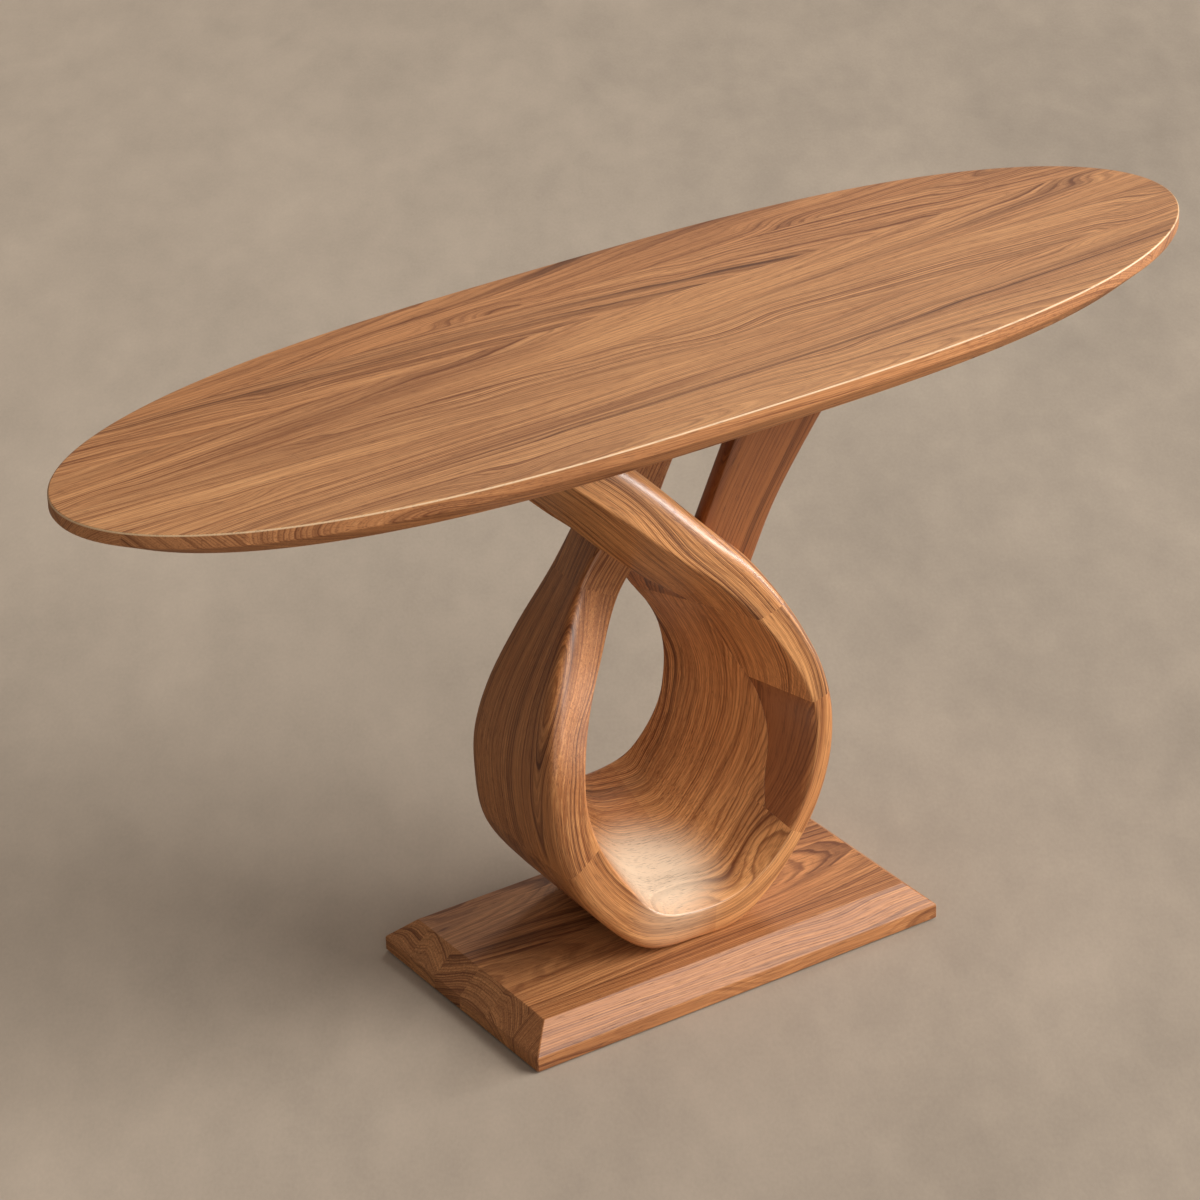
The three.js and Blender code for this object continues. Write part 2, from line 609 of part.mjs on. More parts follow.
// Bolts up through the plinth into inserts in the foot
function placePlinth(boltX) {
  let plinth = plinthSolid();
  [-1, 1].forEach((side, i) => {
    const y = (side * boltSpacing) / 2;
    const hole = boltShank / 2 + holeClearance;
    const well = counterboreWidth / 2;
    plinth = plinth.subtract(roundPart([
      [0, -overrun], [well, -overrun], [well, counterboreDepth], [hole, counterboreDepth],
      [hole, plinthThickness + overrun], [0, plinthThickness + overrun],
    ], boltX, y, padThickness));
    place(`foot_bolt_${i + 1}`, roundPart(boltProfile(0), boltX, y, padThickness), steel);
    place(`foot_washer_${i + 1}`, roundPart(ringProfile(
      hole,
      washerWidth / 2,
      counterboreDepth - washerThickness,
      counterboreDepth,
    ), boltX, y, padThickness), steel);
    place(`foot_insert_${i + 1}`, roundPart(ringProfile(
      hole,
      insertWidth / 2,
      0,
      insertLength,
    ), boltX, y, plinthTop), brass);
  });
  placeBoards('plinth_stave', plinth, plinthWidth, staveCount, walnutPlinth);
}

function placePads() {
  const profile = [[0, 0], [padWidth / 2, 0], [padWidth / 2, padThickness], [0, padThickness]];
  let number = 0;
  for (const sideX of [-1, 0, 1]) {
    for (const sideY of [-1, 1]) {
      number += 1;
      const x = sideX * (plinthLength / 2 - padInset);
      const y = sideY * (plinthWidth / 2 - padInset);
      place(`pad_${number}`, roundPart(profile, x, y, 0), felt);
    }
  }
}

placeBoards('top_board', placePlates(topSolid()), topWidth, boardCount, walnutTop);
placePlinth(placePedestal());
placePads();

export default table;
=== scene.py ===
import json
import math

import bmesh
import bpy
from mathutils import Matrix, Vector


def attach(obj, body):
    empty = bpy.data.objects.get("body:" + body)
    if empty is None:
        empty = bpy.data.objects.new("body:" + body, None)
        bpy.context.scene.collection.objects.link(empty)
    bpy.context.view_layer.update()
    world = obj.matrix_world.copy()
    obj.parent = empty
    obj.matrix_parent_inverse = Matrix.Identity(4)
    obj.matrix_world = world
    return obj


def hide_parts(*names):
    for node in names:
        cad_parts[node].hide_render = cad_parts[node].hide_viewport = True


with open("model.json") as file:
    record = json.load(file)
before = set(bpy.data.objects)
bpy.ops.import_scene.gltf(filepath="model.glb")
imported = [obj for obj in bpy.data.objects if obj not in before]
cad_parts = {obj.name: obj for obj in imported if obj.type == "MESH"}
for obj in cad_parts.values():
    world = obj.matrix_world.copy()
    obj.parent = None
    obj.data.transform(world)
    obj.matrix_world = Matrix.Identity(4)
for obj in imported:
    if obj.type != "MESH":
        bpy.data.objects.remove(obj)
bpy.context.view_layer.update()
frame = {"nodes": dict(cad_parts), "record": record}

nodes = frame["nodes"]
scene = bpy.context.scene
scene.view_settings.view_transform = "Standard"
mm = 0.001

cameraSet = {
    "place": Vector((-2546.49, -3837.41, 2821.66)) * mm,
    "yaw": 32.8389,      # degrees to the right of +Y
    "pitch": 27.3512,    # degrees down
    "roll": -1.9537,
    "lens": 139.37,
    "sensor": 36.0,
}


def makeCamera(look):
    data = bpy.data.cameras.new("camera")
    data.lens = look["lens"]
    data.sensor_width = look["sensor"]
    camera = bpy.data.objects.new("camera", data)
    turn = Matrix.Rotation(math.radians(-look["yaw"]), 4, "Z")
    tip = Matrix.Rotation(math.radians(90 - look["pitch"]), 4, "X")
    roll = Matrix.Rotation(math.radians(look["roll"]), 4, "Z")
    camera.matrix_world = Matrix.Translation(look["place"]) @ turn @ tip @ roll
    scene.collection.objects.link(camera)
    scene.camera = camera


makeCamera(cameraSet)
print("camera placed")


class Wire:    # a node's output that takes part in Python sums
    def __init__(self, tree, output=None):
        self.tree = tree
        self.output = output

    def make(self, kind, settings=None, inputs=None, output=0):
        node = self.tree.nodes.new(kind)
        for name, value in (settings or {}).items():
            setattr(node, name, value)
        for key, value in (inputs or {}).items():
            if isinstance(value, Wire):
                self.tree.links.new(value.output, node.inputs[key])
            else:
                node.inputs[key].default_value = value
        return Wire(self.tree, node.outputs[output] if node.outputs else None)

    def sum(self, operation, *terms):
        return self.make("ShaderNodeMath", {"operation": operation}, dict(enumerate(terms)))

    def __add__(self, other):
        return self.sum("ADD", self, other)

    def __radd__(self, other):
        return self.sum("ADD", other, self)

    def __sub__(self, other):
        return self.sum("SUBTRACT", self, other)

    def __rsub__(self, other):
        return self.sum("SUBTRACT", other, self)

    def __mul__(self, other):
        return self.sum("MULTIPLY", self, other)

    def __rmul__(self, other):
        return self.sum("MULTIPLY", other, self)

    def __truediv__(self, other):
        return self.sum("DIVIDE", self, other)

    def __pow__(self, other):
        return self.sum("POWER", self, other)

    def clamped(self):
        return self.make("ShaderNodeMath", {"operation": "ADD", "use_clamp": True}, {0: self, 1: 0.0})

    def between(self, low, high):    # 0 at low, 1 at high, eased
        return self.make("ShaderNodeMapRange", {"interpolation_type": "SMOOTHSTEP"},
                         {"Value": self, "From Min": low, "From Max": high})

    def ramp(self, low, high):    # rises from low to high and falls back by 1
        return self.between(low, high) * (1 - self.between(high, 1.0))

    def axis(self, index):
        return self.make("ShaderNodeSeparateXYZ", {}, {0: self}, index)

    def stretched(self, scales):
        return self.make("ShaderNodeVectorMath", {"operation": "MULTIPLY"}, {0: self, 1: scales})

    def noise(self, scales, detail=2.0, roughness=0.5, distortion=0.0):
        return self.make("ShaderNodeTexNoise", {}, {
            "Vector": self.stretched(scales), "Scale": 1.0, "Detail": detail,
            "Roughness": roughness, "Distortion": distortion})

    def mixed(self, first, second):    # self is the factor, and 6 and 7 are the two colours
        return self.make("ShaderNodeMix", {"data_type": "RGBA"}, {0: self, 6: first, 7: second}, 2)


def newMaterial(name):
    material = bpy.data.materials.new(name)
    material.use_nodes = True
    material.node_tree.nodes.clear()
    return material, Wire(material.node_tree)


def finishMaterial(wire, shader):
    wire.make("ShaderNodeOutputMaterial", {}, {"Surface": shader})


def colour(red, green, blue):    # a colour as a screen shows it, 0 to 255
    def linear(value):
        value /= 255
        return value / 12.92 if value <= 0.04045 else ((value + 0.055) / 1.055) ** 2.4
    return (linear(red), linear(green), linear(blue), 1)


# Walnut
walnutSet = {
    "top": {
        "pale": colour(240, 182, 126),
        "body": colour(208, 145, 94),
        "deep": colour(128, 75, 43),
        "vein": colour(80, 43, 25),
        "ringWidth": 0.007,
        "slope": 0.035,
        "heart": 0.045,
        "contrast": 0.85,
        "wander": 0.6,
        # the colour of the painted highlight
        "paintedHighlight": colour(232, 200, 160),
        "roughness": 0.48,
        "coat": 0.12,
    },
    "pedestal": {
        "pale": colour(238, 174, 112),
        "body": colour(198, 130, 77),
        "deep": colour(122, 68, 36),
        "vein": colour(66, 34, 19),
        "ringWidth": 0.0052,
        "slope": 0.05,
        "heart": 0.045,
        "contrast": 1.0,
        "wander": 0.4,
        # the colour of the painted highlight
        "paintedHighlight": colour(244, 222, 196),
        "roughness": 0.42,
        "coat": 0.32,
    },
    "plinth": {
        "pale": colour(232, 168, 110),
        "body": colour(192, 129, 80),
        "deep": colour(122, 72, 42),
        "vein": colour(68, 37, 22),
        "ringWidth": 0.008,
        "slope": 0.04,
        "heart": 0.05,
        "contrast": 0.95,
        "wander": 0.7,
        "paintedHighlight": colour(232, 200, 160),
        "roughness": 0.5,
        "coat": 0.12,
    },
}


def makeWalnut(name, look):
    material, wire = newMaterial(name)
    grain = wire.make("ShaderNodeAttribute", {"attribute_name": "grain"}, {}, "Vector")
    tone = wire.make("ShaderNodeAttribute", {"attribute_name": "tone"}, {}, "Fac")
    # a mask that says where a painted highlight is laid on
    paintedHighlight = wire.make("ShaderNodeAttribute", {"attribute_name": "paintedHighlight"}, {}, "Fac")
    along, across, depth = grain.axis(0), grain.axis(1), grain.axis(2)
    # growth rings round a heart under the board, which drifts and sways along it
    sway = (grain.noise((0.9, 3, 3), 2.0, 0.5) - 0.5) * look["wander"]
    roll = (grain.noise((1.7, 4, 4), 2.0, 0.5) - 0.5) * look["wander"]
    ripple = grain.noise((11, 45, 45), 3.0, 0.5) - 0.5
    side = across + sway * 0.05
    under = depth + along * look["slope"] + roll * 0.03 + look["heart"]
    eye = grain.noise((3.4, 13, 13), 1.0, 0.4).between(0.55, 0.86)
    radius = (side * side + under * under) ** 0.5 + ripple * 0.0015 + eye * look["wander"] * 0.02
    ring = radius / look["ringWidth"]
    turn = wire.sum("FRACT", ring)
    lateWood = turn.ramp(0.45, 0.95)
    hair = wire.sum("FRACT", ring * 3.3 + ripple * 0.8)
    hairLine = hair.ramp(0.4, 0.85)
    # streaks that keep to the rings, so that they follow the figure
    flow = wire.make("ShaderNodeCombineXYZ", {}, {0: along, 1: radius, 2: side * 0.15})
    strength = flow.noise((1.1, 70, 30), 3.0, 0.6).between(0.35, 0.68)
    band = flow.noise((0.6, 38, 9), 3.0, 0.5).between(0.48, 0.72)
    streak = flow.noise((2.2, 330, 60), 5.0, 0.72).between(0.38, 0.7)
    fibre = grain.noise((5, 400, 400), 4.0, 0.75)
    thread = grain.noise((3.2, 520, 520), 2.0, 0.6).between(0.52, 0.72)
    fleck = grain.noise((26, 1200, 1200), 2.0, 0.6)
    pores = grain.noise((60, 1400, 1400), 1.0, 0.4).between(0.58, 0.7)
    light = ((fibre - 0.5) * 2.4 + (fleck - 0.5) * 1.2 + tone - 0.05 - streak * 0.2).clamped()
    base = light.mixed(look["body"], look["pale"])
    dark = lateWood * strength * 0.6 + hairLine * (strength + 0.35) * 0.5 + streak * 0.45 + band * 0.2
    base = (dark * look["contrast"]).clamped().mixed(base, look["deep"])
    zone = flow.noise((1.3, 24, 6), 4.0, 0.6).between(0.5, 0.74)
    base = (zone * 0.5).clamped().mixed(base, look["deep"])
    base = (thread * 0.6).clamped().mixed(base, look["deep"])
    # low tones mix towards deep: darker wood on the dark block, and painted shade on the front right arm
    base = (tone * -0.9).clamped().mixed(base, look["deep"])
    base = (eye.between(0.75, 1.0) * 0.45).mixed(base, look["deep"])
    # painted highlight: a paler colour laid wherever the mask is set
    base = (paintedHighlight.between(0.0, 0.75) * 0.92).mixed(base, look["paintedHighlight"])
    lines = band * (lateWood * 0.5 + streak * 0.55) * look["contrast"]
    base = lines.clamped().mixed(base, look["vein"])
    base = (pores * (0.25 + streak * 0.4)).clamped().mixed(base, look["vein"])
    relief = fibre * 0.35 + fleck * 0.2 + pores * -0.9
    bump = wire.make("ShaderNodeBump", {}, {"Strength": 0.14, "Distance": 0.0005, "Height": relief})
    rough = look["roughness"] + (fibre - 0.5) * 0.16 + pores * 0.12 - lateWood * 0.04
    shader = wire.make("ShaderNodeBsdfPrincipled", {}, {
        "Base Color": base, "Roughness": rough, "Normal": bump, "Coat Weight": look["coat"],
        "Coat Roughness": 0.27})
    finishMaterial(wire, shader)
    return material


walnut = {name: makeWalnut("walnut_" + name, look) for name, look in walnutSet.items()}


# Mesh helpers
sharpAngle = math.radians(28)    # steeper edges stay crisp


def paint(mesh, name, values):    # a number on each vertex that the walnut reads
    mesh.attributes.new(name, "FLOAT", "POINT").data.foreach_set("value", values)


def meshFrom(name, points, faces, grain, tone, material, replaced):
    mesh = bpy.data.meshes.new(name)
    mesh.from_pydata([tuple(p) for p in points], [], faces)
    mesh.update()
    holder = mesh.attributes.new("grain", "FLOAT_VECTOR", "POINT")
    holder.data.foreach_set("vector", [value for place in grain for value in place])
    paint(mesh, "tone", [tone(v.co) for v in mesh.vertices])
    mesh.materials.append(material)
    mesh.shade_smooth()
    mesh.set_sharp_from_angle(angle=sharpAngle)
    piece = bpy.data.objects.new(name, mesh)
    scene.collection.objects.link(piece)
    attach(piece, "root")
    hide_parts(*replaced)
    return piece


def ringFaces(ringCount, count):    # a skin over the rings, closed at both ends
    faces = []
    for ring in range(ringCount - 1):
        for i in range(count):
            a = ring * count + i
            b = ring * count + (i + 1) % count
            faces.append((a, b, b + count, a + count))
    faces.append(tuple(reversed(range(count))))
    faces.append(tuple(range((ringCount - 1) * count, ringCount * count)))
    return faces


def cutAway(work, cuts):    # keeps what lies behind each plane: a point on it and its normal
    for place, normal in cuts:
        whole = list(work.verts) + list(work.edges) + list(work.faces)
        cut = bmesh.ops.bisect_plane(work, geom=whole, plane_co=place, plane_no=normal,
                                     clear_outer=True)
        edges = [item for item in cut["geom_cut"] if isinstance(item, bmesh.types.BMEdge)]
        if edges:
            bmesh.ops.holes_fill(work, edges=edges, sides=0)


def trimmed(points, faces, cuts):
    work = bmesh.new()
    corners = [work.verts.new(p) for p in points]
    for face in faces:
        work.faces.new([corners[i] for i in face])
    bmesh.ops.recalc_face_normals(work, faces=work.faces)
    cutAway(work, cuts)
    bmesh.ops.recalc_face_normals(work, faces=work.faces)
    work.verts.ensure_lookup_table()
    work.verts.index_update()
    kept = [v.co.copy() for v in work.verts]
    shown = [tuple(v.index for v in face.verts) for face in work.faces]
    work.free()
    return kept, shown


wellSides = 64


def drilled(points, faces, wells):    # each well is a place on the underside, a radius and a depth
    holder = bpy.data.objects.new("block", bpy.data.meshes.new("block"))
    holder.data.from_pydata([tuple(p) for p in points], [], faces)
    scene.collection.objects.link(holder)
    cutters = []
    for place, radius, depth in wells:
        work = bmesh.new()
        bmesh.ops.create_cone(work, cap_ends=True, segments=wellSides, radius1=radius, radius2=radius,
                              depth=depth * 2, matrix=Matrix.Translation(place))
        cutter = bpy.data.objects.new("well", bpy.data.meshes.new("well"))
        work.to_mesh(cutter.data)
        work.free()
        scene.collection.objects.link(cutter)
        drill = holder.modifiers.new("well", "BOOLEAN")
        drill.object, drill.operation, drill.solver = cutter, "DIFFERENCE", "EXACT"
        cutters.append(cutter)
    shaped = holder.evaluated_get(bpy.context.evaluated_depsgraph_get()).data
    kept = [v.co.copy() for v in shaped.vertices]
    shown = [tuple(face.vertices) for face in shaped.polygons]
    for item in [holder] + cutters:
        bpy.data.objects.remove(item)
    return kept, shown


# Table top
topSet = {
    "length": 1.432, "width": 0.456, "height": 0.76, "thickness": 0.0336,
    "arris": 0.0024, "arrisSteps": 4, "band": 0.013,
    "sideBevel": 0.013, "endBevel": 0.037, "bevelRound": 0.0012,
    "endPower": 2.87, "sidePower": 2.0, "outlineSteps": 480,
    "boards": 6,
    "tones": (0.6, 0.5, 0.55, 0.45, 0.3, 0.05),
    "edgeHeight": 0.7597, "edgePaintedShade": 0.6, "wells": (),
    "highlightFrom": 0.7578, "highlightTo": 0.7598, "wearAndHighlight": 0.75,
    "hearts": (0.02, -0.085, 0.1, -0.08, 0.095, -0.09),
    "logStart": -0.4, "logStep": 1.7,
}


def topOutline(look, insetX, insetY, z):
    ring = []
    for i in range(look["outlineSteps"]):
        turn = math.tau * i / look["outlineSteps"]
        across = math.copysign(abs(math.cos(turn)) ** (2 / look["endPower"]), math.cos(turn))
        along = math.copysign(abs(math.sin(turn)) ** (2 / look["sidePower"]), math.sin(turn))
        ring.append(Vector(((look["length"] / 2 - insetX) * across,
                            (look["width"] / 2 - insetY) * along, z)))
    return ring


def topRings(look):
    height, arris, band = look["height"], look["arris"], look["band"]
    underside = height - look["thickness"]
    soft = look["bevelRound"]
    rings = [
        topOutline(look, look["endBevel"] + soft, look["sideBevel"] + soft, underside),
        topOutline(look, look["endBevel"] - soft, look["sideBevel"] - soft / 2, underside + soft),
        topOutline(look, soft * 1.4, soft * 0.5, height - arris - band - soft),
        topOutline(look, 0, 0, height - arris - band + soft),
    ]
    for step in range(look["arrisSteps"] + 1):
        turn = math.pi / 2 * step / look["arrisSteps"]
        inset = arris * (1 - math.cos(turn))
        rings.append(topOutline(look, inset, inset, height - arris + arris * math.sin(turn)))
    return rings


flatWeight = 100    # how far the wide faces set the normals


def makeBoards(look, rings, width, name, material):
    points = [p for ring in rings for p in ring]
    faces = ringFaces(len(rings), len(rings[0]))
    count = look["boards"]
    for i in range(count):
        low = -width / 2 + width * i / count
        high = low + width / count
        cuts = []
        if i > 0:
            cuts.append(((0, low, 0), (0, -1, 0)))
        if i < count - 1:
            cuts.append(((0, high, 0), (0, 1, 0)))
        kept, shown = trimmed(points, faces, cuts)
        wells = [well for well in look["wells"] if low - well[1] < well[0][1] < high + well[1]]
        if wells:
            kept, shown = drilled(kept, shown, wells)
        middle = (low + high) / 2
        sideways = look["hearts"][i]
        shift = Vector((look["logStart"] + look["logStep"] * i, sideways - middle, -look["height"]))
        grain = [p + shift for p in kept]
        node = f"{name}_{i + 1}"
        edgeHeight = look["edgeHeight"]

        # the top's edge band and underside are painted darker: painted shade
        def tone(p, face=look["tones"][i]):
            return face if p.z > edgeHeight else face - look["edgePaintedShade"]
        board = meshFrom(node + "_wood", kept, shown, grain, tone, material, [node])
        # the arris rings get a painted highlight, a paler line along the top's edge
        paint(board.data, "paintedHighlight", [
            look["wearAndHighlight"] if look["highlightFrom"] < v.co.z < look["highlightTo"] else 0
            for v in board.data.vertices])
        evener = board.modifiers.new("even", "WEIGHTED_NORMAL")
        evener.keep_sharp = True
        evener.weight = flatWeight


makeBoards(topSet, topRings(topSet), topSet["width"], "top_board", walnut["top"])
print("top made")


# Plinth
plinthSet = {
    "length": 0.553, "width": 0.323, "rest": 0.002, "height": 0.0445, "edge": 0.0175,
    "bevel": 0.0285, "arris": 0.0012, "boards": 6,
    "tones": (0.2, 0.45, 0.65, 0.4, 0.6, 0.5),
    "edgeHeight": 0.0, "edgePaintedShade": 0.0, "highlightFrom": 1.0, "highlightTo": 1.0, "wearAndHighlight": 0.0,
    "wells": tuple((Vector((-0.016, side * 0.055, 0.002)), 0.013, 0.01) for side in (-1, 1)),
    "hearts": (0.06, -0.05, 0.0, 0.08, -0.07, 0.02),
    "logStart": -0.4, "logStep": 1.7,
}


def plinthRings(look):
    base, arris = look["rest"], look["arris"]
    edge = base + look["edge"]
    top = base + look["height"]
    steps = [
        (arris, base), (0, base + arris), (0, edge - arris), (arris * 0.5, edge + arris * 0.5),
        (look["bevel"] - arris * 0.7, top - arris * 0.7), (look["bevel"] + arris * 0.6, top),
    ]
    rings = []
    for inset, z in steps:
        x, y = look["length"] / 2 - inset, look["width"] / 2 - inset
        cut = arris
        ring = [(-x + cut, -y), (x - cut, -y), (x, -y + cut), (x, y - cut),
                (x - cut, y), (-x + cut, y), (-x, y - cut), (-x, -y + cut)]
        rings.append([Vector((px, py, z)) for px, py in ring])
    return rings


makeBoards(plinthSet, plinthRings(plinthSet), plinthSet["width"], "plinth_stave", walnut["plinth"])
print("plinth made")


# Pedestal
# Each track is a run of stations up a limb. A station has its corners in order, and a corner has its
# place across, its place in depth, its height and its softness, as shares of limbSet's sizes.
rightBandShares = [
    [[-0.08, -1, 0.062, 0.03], [-0.08, -0.93, 0, 0.1], [-0.08, 1, 0, 0.1], [-0.08, 0.96, 0.2, 0.04],
     [-0.08, 0.7, 0.178, 0.03]],
    [[0.2, -1, 0.07, 0.03], [0.22, -0.94, 0.004, 0.1], [0.22, 1, 0.008, 0.1], [0.11, 0.96, 0.213, 0.04],
     [0.13, 0.7, 0.19, 0.03]],
    [[0.45, -1, 0.11, 0.03], [0.53, -0.97, 0.078, 0.1], [0.52, 1, 0.08, 0.1], [0.24, 0.96, 0.246, 0.04],
     [0.27, 0.7, 0.225, 0.03]],
    [[0.64, -1, 0.19, 0.03], [0.76, -0.99, 0.18, 0.1], [0.72, 1, 0.17, 0.1], [0.345, 0.96, 0.295, 0.04],
     [0.385, 0.7, 0.272, 0.03]],
    [[0.73, -1, 0.275, 0.03], [0.865, -1, 0.275, 0.11], [0.81, 0.97, 0.265, 0.1], [0.382, 0.96, 0.345, 0.04],
     [0.427, 0.7, 0.325, 0.03]],
    [[0.745, -1, 0.352, 0.03], [0.88, -1, 0.36, 0.15], [0.81, 0.93, 0.36, 0.1], [0.383, 0.95, 0.39, 0.04],
     [0.435, 0.7, 0.378, 0.03]],
    [[0.67, -1, 0.42, 0.03], [0.835, -1, 0.435, 0.24], [0.73, 0.9, 0.44, 0.1], [0.342, 0.92, 0.442, 0.04],
     [0.392, 0.68, 0.432, 0.03]],
    [[0.54, -1, 0.492, 0.03], [0.74, -1, 0.507, 0.36], [0.59, 0.82, 0.51, 0.1], [0.225, 0.78, 0.5, 0.04],
     [0.272, 0.61, 0.497, 0.03]],
    [[0.36, -1, 0.568, 0.03], [0.6, -1, 0.585, 0.46], [0.4, 0.7, 0.587, 0.1], [0.075, 0.64, 0.556, 0.04],
     [0.11, 0.56, 0.555, 0.03]],
    [[0.12, -1, 0.65, 0.03], [0.39, -0.98, 0.67, 0.5], [0.2, 0.62, 0.68, 0.1], [-0.1, 0.56, 0.63, 0.04],
     [-0.08, 0.5, 0.63, 0.03]],
]
leftBandShares = [
    [[-0.35, -1, 0.085, 0.03], [-0.4, -0.95, 0.014, 0.12], [-0.4, 1, 0.016, 0.1], [-0.29, 0.96, 0.203, 0.04],
     [-0.27, 0.7, 0.183, 0.03]],
    [[-0.56, -1, 0.16, 0.03], [-0.72, -1, 0.1, 0.15], [-0.68, 1, 0.1, 0.1], [-0.45, 0.97, 0.22, 0.04],
     [-0.44, 0.74, 0.205, 0.03]],
    [[-0.73, -0.99, 0.25, 0.03], [-0.94, -1, 0.205, 0.18], [-0.87, 1, 0.19, 0.1], [-0.56, 0.98, 0.265, 0.04],
     [-0.59, 0.78, 0.255, 0.03]],
    [[-0.79, -0.96, 0.32, 0.03], [-1.03, -0.97, 0.31, 0.2], [-0.915, 1, 0.285, 0.1], [-0.62, 1, 0.325, 0.04],
     [-0.66, 0.8, 0.32, 0.03]],
    [[-0.78, -0.9, 0.385, 0.03], [-1.03, -0.92, 0.395, 0.22], [-0.9, 1, 0.36, 0.1], [-0.62, 1, 0.387, 0.04],
     [-0.66, 0.82, 0.385, 0.03]],
    [[-0.67, -0.68, 0.46, 0.03], [-0.93, -0.7, 0.49, 0.22], [-0.8, 1, 0.435, 0.1], [-0.53, 1, 0.462, 0.04],
     [-0.57, 0.85, 0.46, 0.03]],
    [[-0.49, -0.4, 0.53, 0.03], [-0.75, -0.42, 0.575, 0.18], [-0.6, 1, 0.52, 0.1], [-0.36, 1, 0.54, 0.04],
     [-0.4, 0.88, 0.54, 0.03]],
    [[-0.27, -0.12, 0.613, 0.03], [-0.53, -0.14, 0.655, 0.12], [-0.34, 1, 0.61, 0.1], [-0.12, 1, 0.62, 0.04],
     [-0.16, 0.9, 0.62, 0.03]],
    [[-0.06, -0.08, 0.69, 0.03], [-0.3, -0.08, 0.74, 0.1], [-0.1, 1, 0.71, 0.1], [0.1, 1, 0.69, 0.04],
     [0.06, 0.92, 0.69, 0.03]],
]
frontLeftArmShares = [
    [[0.54, -1, 0.492, 0.03], [0.74, -1, 0.507, 0.36], [0.663, -0.06, 0.5085, 0.04],
     [0.383, -0.06, 0.495, 0.01]],
    [[0.36, -1, 0.568, 0.03], [0.6, -1, 0.585, 0.46], [0.489, -0.06, 0.586, 0.05],
     [0.209, -0.06, 0.56, 0.02]],
    [[0.12, -1, 0.65, 0.03], [0.39, -0.98, 0.67, 0.5], [0.29, -0.06, 0.68, 0.06],
     [-0.02, -0.06, 0.613, 0.03]],
    [[-0.15, -1, 0.722, 0.03], [0.13, -0.96, 0.745, 0.52], [0.04, -0.06, 0.765, 0.06],
     [-0.3, -0.06, 0.685, 0.03]],
    [[-0.53, -1, 0.83, 0.03], [-0.25, -0.93, 0.862, 0.52], [-0.33, -0.06, 0.88, 0.06],
     [-0.66, -0.08, 0.795, 0.03]],
    [[-0.86, -1, 0.918, 0.03], [-0.59, -0.92, 0.955, 0.5], [-0.66, -0.08, 0.965, 0.06],
     [-0.98, -0.12, 0.89, 0.03]],
    [[-1.25, -1, 1.025, 0.03], [-0.92, -0.9, 1.045, 0.48], [-0.98, -0.1, 1.05, 0.06],
     [-1.33, -0.16, 1.01, 0.03]],
]
rightShoulderShares = [
    [[0.383, -0.06, 0.495, 0.02], [0.663, -0.06, 0.5085, 0.05], [0.59, 0.82, 0.51, 0.1],
     [0.225, 0.78, 0.5, 0.04]],
    [[0.209, -0.06, 0.56, 0.02], [0.489, -0.06, 0.586, 0.05], [0.4, 0.7, 0.587, 0.1],
     [0.075, 0.64, 0.556, 0.04]],
    [[0, -0.06, 0.615, 0.03], [0.29, -0.06, 0.68, 0.06], [0.2, 0.62, 0.68, 0.1], [-0.1, 0.58, 0.632, 0.04]],
    [[-0.14, -0.06, 0.65, 0.03], [0.1, -0.06, 0.73, 0.06], [0.05, 0.6, 0.73, 0.1], [-0.18, 0.56, 0.66, 0.04]],
]
backRightArmShares = [
    [[-0.49, -0.4, 0.53, 0.03], [-0.75, -0.42, 0.575, 0.18], [-0.6, 1, 0.52, 0.1], [-0.36, 1, 0.54, 0.04],
     [-0.4, 0.88, 0.54, 0.03]],
    [[-0.27, -0.12, 0.613, 0.03], [-0.53, -0.14, 0.655, 0.12], [-0.34, 1, 0.61, 0.1], [-0.12, 1, 0.62, 0.04],
     [-0.16, 0.9, 0.62, 0.03]],
    [[-0.06, -0.08, 0.69, 0.03], [-0.3, -0.08, 0.74, 0.1], [-0.1, 1, 0.71, 0.1], [0.1, 1, 0.69, 0.04],
     [0.06, 0.92, 0.69, 0.03]],
    [[0.12, 0.1, 0.765, 0.03], [-0.1, 0.1, 0.81, 0.1], [0.14, 1, 0.8, 0.1], [0.32, 1, 0.76, 0.04],
     [0.29, 0.93, 0.76, 0.03]],
    [[0.4, 0.25, 0.87, 0.03], [0.14, 0.25, 0.91, 0.1], [0.44, 1, 0.9, 0.1], [0.64, 1, 0.86, 0.04],
     [0.61, 0.94, 0.86, 0.03]],
    [[0.76, 0.32, 1.01, 0.03], [0.45, 0.32, 1.05, 0.1], [0.8, 1, 1.04, 0.1], [1.02, 1, 1.01, 0.04],
     [0.99, 0.94, 1.01, 0.03]],
]
frontRightArmShares = [
    [[0.42, -0.74, 0.64, 0.16], [-0.01, -0.74, 0.69, 0.24], [0.09, -0.3, 0.69, 0.2],
     [0.42, -0.3, 0.64, 0.12]],
    [[0.62, -0.73, 0.753, 0.16], [0.1, -0.73, 0.759, 0.24], [0.21, -0.29, 0.759, 0.2],
     [0.62, -0.29, 0.753, 0.12]],
    [[0.96, -0.72, 0.887, 0.16], [0.33, -0.72, 0.898, 0.24], [0.45, -0.28, 0.898, 0.2],
     [0.96, -0.28, 0.887, 0.12]],
    [[1.34, -0.71, 1.02, 0.16], [0.59, -0.71, 1.04, 0.24], [0.72, -0.27, 1.04, 0.2],
     [1.34, -0.27, 1.02, 0.12]],
]
